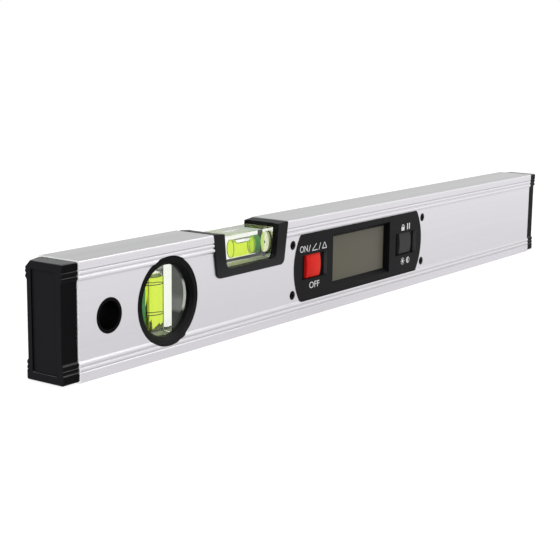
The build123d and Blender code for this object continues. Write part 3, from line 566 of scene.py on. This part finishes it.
def cast_block(low, high, upright):
    """Block of cast plastic with chamfered upright edges, and all edges softened."""
    sharp_angle = 0.3

    def build(made):
        bmesh.ops.create_cube(made, size=1.0)
        size = high - low
        for v in made.verts:
            v.co = Vector([low[k] + (v.co[k] + 0.5) * size[k] for k in range(3)])
        tall = [e for e in made.edges
                if abs(e.verts[0].co.z - e.verts[1].co.z) > 0.5 * size.z]
        bmesh.ops.bevel(made, geom=tall, offset=upright, segments=1, profile=0.5, affect="EDGES")
        sharp = [e for e in made.edges if e.calc_face_angle(0.0) > sharp_angle]
        bmesh.ops.bevel(made, geom=sharp, offset=BLOCK_SOFT, segments=2, profile=0.5,
                        affect="EDGES")
    return build


def circle(middle, axis, along, radius, count=96):
    """Points about an axis, at a place along it. They start at +Y and turn towards +Z about
    the X axis, or towards +X about the Z axis."""
    side = Vector((0, 1, 0))
    up = axis.cross(side) if axis.x else ALONG
    turns = [2 * math.pi * i / count for i in range(count)]
    return [middle + axis * along + (side * math.cos(a) + up * math.sin(a)) * radius for a in turns]


def level_shapes(middle, radius, half, reach, depth):
    """Liquid in a chamber along X with a dent at its top, and the bubble that fills the dent."""
    steps, across_steps = 60, 32
    stations = [reach * math.sin(math.pi / 2 * (-1 + 2 * i / steps)) for i in range(steps + 1)]
    margin, shoulder = 0.3 * MM, 0.85 * half
    climbing = 0.45
    no_width = 1e-12
    search, widest = 0.01 * MM, 0.98 * radius

    def wall(x):
        return radius - CROWN * (x / half) ** 2

    def ceiling(x, y):
        return middle.z + math.sqrt(wall(x) ** 2 - y ** 2)

    def surface(x, y):
        """Height of the liquid in the dent, where it climbs towards the wall."""
        share = min(1.0, abs(x) / reach)
        dip = depth * max(0.0, 1.0 - share ** 4) ** 0.5
        width = math.sqrt(max(no_width, 2 * radius * dip - dip ** 2))
        climb = climbing * dip * min(1.0, abs(y) / width) ** 4
        return middle.z + radius - dip + climb

    def liquid(made):
        right = [reach + margin, shoulder, half - CHAMBER_SOFT]
        left = [-x for x in reversed(right)]
        rings = [circle(middle, ALONG, -half, wall(half) - CHAMBER_SOFT)]
        for x in left + stations + right:
            ring = circle(middle, ALONG, x, wall(x))
            rings.append([Vector((v.x, v.y, min(v.z, surface(x, v.y - middle.y)))) for v in ring])
        rings.append(circle(middle, ALONG, half, wall(half) - CHAMBER_SOFT))
        skin(made, rings)

    def bubble(made):
        rings = []
        for x in stations[1:-1]:
            width = 0.0
            while width < widest and surface(x, width) + AIR_GAP < ceiling(x, width):
                width += search
            across = [width * math.cos(math.pi * i / across_steps) for i in range(across_steps + 1)]
            outline = [(y, ceiling(x, y)) for y in across]
            outline += [(y, surface(x, y) + AIR_GAP) for y in reversed(across[1:-1])]
            rings.append([Vector((middle.x + x, middle.y + y, z)) for y, z in outline])
        skin(made, rings)

    return liquid, bubble


def plumb_shapes(middle, radius, low, top, level):
    """Liquid in an upright chamber with a hollow surface, and the air above it."""
    base = Vector((middle.x, middle.y, 0.0))
    shares = (1.0, 0.93, 0.84, 0.70, 0.50, 0.28, 0.08)
    meniscus = 0.7 * MM
    steps = 12

    def ring(height, reach):
        return circle(base, UPRIGHT, height, reach)

    def surface(share):
        return level + meniscus * share ** 5

    def liquid(made):
        rings = [ring(low, radius - CROWN - CHAMBER_SOFT), ring(low + CHAMBER_SOFT, radius - CROWN)]
        for i in range(1, steps):
            narrower = CROWN * (1 - 2 * i / steps) ** 2
            rings.append(ring(low + (level - low) * i / steps, radius - narrower))
        rings += [ring(surface(share), radius * share) for share in shares]
        skin(made, rings)

    def air(made):
        rings = [ring(surface(share) + AIR_GAP, radius * share) for share in reversed(shares)]
        rings += [ring(top - AIR_SOFT, radius), ring(top, radius - AIR_SOFT)]
        skin(made, rings)

    return liquid, air


def make_plumb_vial():
    chamfer = 1.15 * MM
    air_height = 1.5 * MM
    plug_gap = 0.02 * MM
    low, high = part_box("plumb_vial_block")
    low.z += BLOCK_LIFT
    shape = cast_block(low, high, chamfer)
    block = piece("plumb_glass", shape, "acrylic", smooth=False)
    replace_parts(block, "plumb_vial_block")
    low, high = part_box("plumb_vial_liquid")
    radius = (high.x - low.x) / 2 + CHAMBER_EXTRA
    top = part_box("plumb_vial_plug")[0].z - plug_gap
    wet, dry = plumb_shapes((low + high) / 2, radius, low.z, top, high.z - air_height)
    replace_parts(piece("plumb_liquid", wet, "liquid"), "plumb_vial_liquid")
    piece("plumb_bubble", dry, "air").data.flip_normals()


def make_level_vial():
    chamfer = 0.4 * MM
    bubble_reach, bubble_depth = 5.5 * MM, 2.35 * MM
    low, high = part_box("level_vial_block")
    low.z += BLOCK_LIFT
    shape = cast_block(low, high, chamfer)
    block = piece("level_glass", shape, "acrylic", smooth=False)
    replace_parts(block, "level_vial_block")
    low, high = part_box("level_vial_liquid")
    bore = (high.y - low.y) / 2
    middle = Vector(((low.x + high.x) / 2, (low.y + high.y) / 2, low.z + bore))
    half = (high.x - low.x) / 2 - PIECE_GAP
    wet, dry = level_shapes(middle, bore + CHAMBER_EXTRA, half, bubble_reach, bubble_depth)
    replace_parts(piece("level_liquid", wet, "liquid"), "level_vial_liquid")
    piece("level_bubble", dry, "air").data.flip_normals()

    low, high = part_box("level_vial_plug")
    middle = (low + high) / 2
    radius = (high.y - low.y) / 2 - PIECE_GAP
    core = [circle(middle, ALONG, x - middle.x, radius)
            for x in (low.x + PIECE_GAP, high.x - PIECE_GAP)]
    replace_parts(piece("level_core", lambda made: skin(made, core), "core"),
                "level_vial_plug")

    low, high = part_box("level_vial_disc")
    tip, head, shank = 0.55 * MM, 0.65 * MM, 0.48 * MM
    stations = [(low.x - 0.8 * PIECE_GAP, tip), (low.x - 0.2 * PIECE_GAP, head),
                (low.x, shank), (high.x - PIECE_GAP, shank)]
    pin = [circle(middle, ALONG, x - middle.x, reach, count=32) for x, reach in stations]
    piece("level_pin", lambda made: skin(made, pin), "line")


def plate(name, low, high, finish):
    """Thin plate between two corners."""
    corners = [(low.x, low.y), (high.x, low.y), (high.x, high.y), (low.x, high.y)]
    rings = [[Vector((x, y, z)) for x, y in corners] for z in (low.z, high.z)]
    piece(name, lambda made: skin(made, rings), finish, smooth=False)


def make_films():
    """Pale films let into the bottom of each block, where they show through the clear plastic,
    a green film on the left of the plumb block, painted light that stands in for the liquid's
    green light seen through that side, and a lip on the sill behind the level block."""
    edge = Vector((0.7, 0.7, 0.0)) * MM
    bed_bottom, bed_top = 0.02 * MM, 0.2 * MM
    for name in ("plumb", "level"):
        low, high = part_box(name + "_vial_block")
        high.z = low.z + bed_top
        low.z += bed_bottom
        plate(name + "_bed", low + edge, high - edge, "bed")

    # Painted light: a green sheet on the plumb block's left face, for the liquid's green light.
    film_gap, film_reach = 0.01 * MM, 0.06 * MM
    low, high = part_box("plumb_vial_block")
    high.x = low.x - film_gap
    low.x -= film_reach
    front, rear = Vector((0.0, 2.5, 0.5)) * MM, Vector((0.0, 1.2, 0.5)) * MM
    plate("plumb_film", low + front, high - rear, "film")

    low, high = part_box("level_vial_block")
    inset = 2.6 * MM
    start = Vector((low.x + inset, high.y + 0.12 * MM, low.z + 0.3 * MM))
    end = Vector((high.x - inset, high.y + 0.9 * MM, low.z + 1.3 * MM))
    plate("level_lip", start, end, "bush")


def make_mats():
    """Silicone mats between the board and the keys, which flatten when a key rocks; here they are
    plain copies of the CAD's mats.
    """
    for key in ("power_key", "hold_key"):
        shape = nodes[key + "_mat"].data
        mat = piece(key + "_pad", lambda made: made.from_mesh(shape), "silicone",
                    smooth=False)
        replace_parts(mat, key + "_mat")
        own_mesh(mat)


def flat_print(name, outlines, x, z, face):
    """Thin print on a face that looks along -Y, from outlines in millimetres about a middle."""
    def build(made):
        for outline in outlines:
            skin(made, [[Vector((x + u * MM, y, z + v * MM)) for u, v in outline]
                        for y in (face, face - PRINT)])
    piece(name, build, "print", smooth=False)


def letters(name, text, height, width, x, z, face):
    """Thin letters on a face that looks along -Y, with their height and width in millimetres."""
    curve = bpy.data.curves.new(name, "FONT")
    curve.body = text
    curve.align_x = "CENTER"
    curve.align_y = "CENTER"
    curve.size = height * MM / CAPITALS
    curve.extrude = PRINT / 2
    temporary = bpy.data.objects.new(name + "_curve", curve)
    bpy.context.scene.collection.objects.link(temporary)
    bpy.context.view_layer.update()
    squeeze = width * MM / temporary.dimensions.x
    graph = bpy.context.evaluated_depsgraph_get()
    mesh = bpy.data.meshes.new_from_object(temporary.evaluated_get(graph))
    bpy.data.objects.remove(temporary)
    upright = Matrix.Scale(squeeze, 4, ALONG) @ Matrix.Rotation(math.pi / 2, 4, "X")
    mesh.transform(Matrix.Translation((x, face - PRINT / 2, z)) @ upright)
    add(name, mesh, "print")


def bar(a, b):
    """Outline of a straight stroke."""
    a, b = Vector(a), Vector(b)
    side = (b - a).normalized().orthogonal() * STROKE / 2
    return [tuple(a - side), tuple(b - side), tuple(b + side), tuple(a + side)]


def arc(middle, radius, start, finish, steps=24):
    """Points on a circle, from one angle to another in degrees."""
    turns = [math.radians(start + (finish - start) * i / steps) for i in range(steps + 1)]
    return [(middle[0] + radius * math.cos(a), middle[1] + radius * math.sin(a)) for a in turns]


def band(middle, radius, start, finish):
    """Outline of a curved stroke."""
    outer = arc(middle, radius + STROKE / 2, start, finish)
    inner = arc(middle, radius - STROKE / 2, start, finish)
    return outer + list(reversed(inner))


def filled(left, right, bottom, top):
    """Outline of a filled rectangle."""
    return [(left, bottom), (right, bottom), (right, top), (left, top)]


def make_prints():
    """Generic signs above and below the keys."""
    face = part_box("display_bezel")[0].y
    power, hold = (middle_of(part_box(key)) for key in ("power_key", "hold_key"))
    above, below = 8.6 * MM, -9.1 * MM
    centre = (0.0, 0.0)
    capitals = 3.1
    rays = 8

    letters("print_on", "ON", capitals, 6.2, power.x - 8.9 * MM, power.z + above, face)
    letters("print_off", "OFF", capitals, 8.2, power.x, power.z + below, face)
    slash = [bar((-0.7, -1.6), (0.7, 1.6))]
    for name, u in (("print_slash_left", -4.3), ("print_slash_right", 4.0)):
        flat_print(name, slash, power.x + u * MM, power.z + above, face)
    angle = [bar((-2.2, -1.35), (2.4, -1.35)), bar((-2.1, -1.4), (1.5, 1.6))]
    flat_print("print_angle", angle, power.x - 0.2 * MM, power.z + above, face)
    delta = [bar((-2.0, -1.35), (2.0, -1.35)), bar((-1.9, -1.4), (0.05, 1.6)),
             bar((1.9, -1.4), (-0.05, 1.6))]
    flat_print("print_delta", delta, power.x + 8.0 * MM, power.z + above, face)

    lock = [filled(-1.5, 1.5, -1.7, 0.2), band((0.0, 0.2), 1.05, 0, 180)]
    flat_print("print_lock", lock, hold.x - 3.2 * MM, hold.z + above, face)
    pause = [filled(u - 0.45, u + 0.45, -1.6, 1.6) for u in (-0.95, 0.95)]
    flat_print("print_pause", pause, hold.x + 2.2 * MM, hold.z + above, face)
    sun = [arc(centre, 0.85, 0, 350, steps=35)]
    for i in range(rays):
        turn = 2 * math.pi * i / rays
        c, s = math.cos(turn), math.sin(turn)
        sun.append(bar((1.25 * c, 1.25 * s), (1.9 * c, 1.9 * s)))
    flat_print("print_sun", sun, hold.x - 2.7 * MM, hold.z + below, face)
    contrast = [band(centre, 1.45, 0, 359), arc(centre, 1.4, 90, 270)]
    flat_print("print_contrast", contrast, hold.x + 2.5 * MM, hold.z + below, face)


def shader(tree, kind, **sockets):
    made = tree.nodes.new(kind)
    for socket, value in sockets.items():
        made.inputs[socket].default_value = value
    return made


def split_by_ray(tree, lighting, seen, output):
    """One shader for light that falls on the part, and another for rays from the camera,
    from a reflection or through glass."""
    path = tree.nodes.new("ShaderNodeLightPath")
    mask = path.outputs["Is Camera Ray"]
    for name in ("Is Glossy Ray", "Is Transmission Ray"):
        larger = tree.nodes.new("ShaderNodeMath")
        larger.operation = "MAXIMUM"
        tree.links.new(mask, larger.inputs[0])
        tree.links.new(path.outputs[name], larger.inputs[1])
        mask = larger.outputs["Value"]
    mix = tree.nodes.new("ShaderNodeMixShader")
    tree.links.new(mask, mix.inputs["Fac"])
    tree.links.new(lighting.outputs[0], mix.inputs[1])
    tree.links.new(seen.outputs[0], mix.inputs[2])
    tree.links.new(mix.outputs[0], tree.nodes.new(output).inputs["Surface"])


def make_surroundings():
    """Soft daylight that looks white."""
    world = bpy.data.worlds.new("studio")
    bpy.context.scene.world = world
    world.use_nodes = True
    tree = world.node_tree
    tree.nodes.clear()
    soft = shader(tree, "ShaderNodeBackground", Color=(0.97, 0.98, 1.0, 1.0), Strength=0.55)
    white = shader(tree, "ShaderNodeBackground", Color=(1.0, 1.0, 1.0, 1.0), Strength=1.0)
    split_by_ray(tree, soft, white, "ShaderNodeOutputWorld")


def make_floor():
    """Floor that looks white, and keeps a soft shadow."""
    mesh = bpy.data.meshes.new("floor")
    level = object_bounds()[0][2] - FLOOR_GAP
    corners = [(-1, -1), (1, -1), (1, 1), (-1, 1)]
    mesh.from_pydata([(x * FLOOR_REACH, y * FLOOR_REACH, level) for x, y in corners],
                     [], [(0, 1, 2, 3)])
    floor = bpy.data.objects.new("floor", mesh)
    bpy.context.scene.collection.objects.link(floor)
    material = bpy.data.materials.new("floor_white")
    material.use_nodes = True
    tree = material.node_tree
    tree.nodes.clear()
    pale = shader(tree, "ShaderNodeBsdfDiffuse", Color=(0.8, 0.8, 0.8, 1.0))
    shade = shader(tree, "ShaderNodeBsdfDiffuse", Color=(0.30, 0.30, 0.30, 1.0))
    glow = shader(tree, "ShaderNodeEmission", Strength=0.86)
    both = tree.nodes.new("ShaderNodeAddShader")
    tree.links.new(shade.outputs[0], both.inputs[0])
    tree.links.new(glow.outputs[0], both.inputs[1])
    split_by_ray(tree, pale, both, "ShaderNodeOutputMaterial")
    mesh.materials.append(material)


def area_light(name, place, target, width, height, power):
    light = bpy.data.lights.new(name, "AREA")
    light.shape = "RECTANGLE"
    light.size = width
    light.size_y = height
    light.energy = power
    obj = bpy.data.objects.new(name, light)
    bpy.context.scene.collection.objects.link(obj)
    obj.location = place
    obj.rotation_euler = (Vector(target) - Vector(place)).to_track_quat("-Z", "Y").to_euler()


def make_lights():
    middle, left = (0, 0, 0.02), (-0.1, 0, 0.02)
    area_light("key", (-0.9, -1.1, 1.0), middle, width=1.7, height=1.4, power=10.0)
    area_light("fill", (2.6, -2.0, 0.6), middle, width=3.0, height=2.0, power=9.0)
    area_light("edge", (1.0, -0.4, 1.25), left, width=1.0, height=0.45, power=5.0)


def make_camera():
    """The photograph's camera, from a fit of the level's edges and openings."""
    place = (-0.536951, -0.349119, 0.133291)
    yaw, pitch, roll = (math.radians(a) for a in (54.351, -10.965, 0.75))
    forward = Vector((math.sin(yaw) * math.cos(pitch), math.cos(yaw) * math.cos(pitch),
                      math.sin(pitch)))
    level_right = Vector((math.cos(yaw), -math.sin(yaw), 0.0))
    level_up = level_right.cross(forward)
    right = level_right * math.cos(roll) + level_up * math.sin(roll)
    up = level_up * math.cos(roll) - level_right * math.sin(roll)
    turn = Matrix((right, up, -forward)).transposed().to_4x4()
    data = bpy.data.cameras.new("camera")
    data.sensor_width = 36.0
    data.lens = 84.885
    camera = bpy.data.objects.new("camera", data)
    bpy.context.scene.collection.objects.link(camera)
    camera.matrix_world = Matrix.Translation(place) @ turn
    bpy.context.scene.camera = camera


dress_nodes()
make_plumb_vial()
make_level_vial()
make_films()
make_mats()
make_prints()
make_surroundings()
make_floor()
make_lights()
make_camera()
bpy.context.scene.view_settings.view_transform = "Standard"
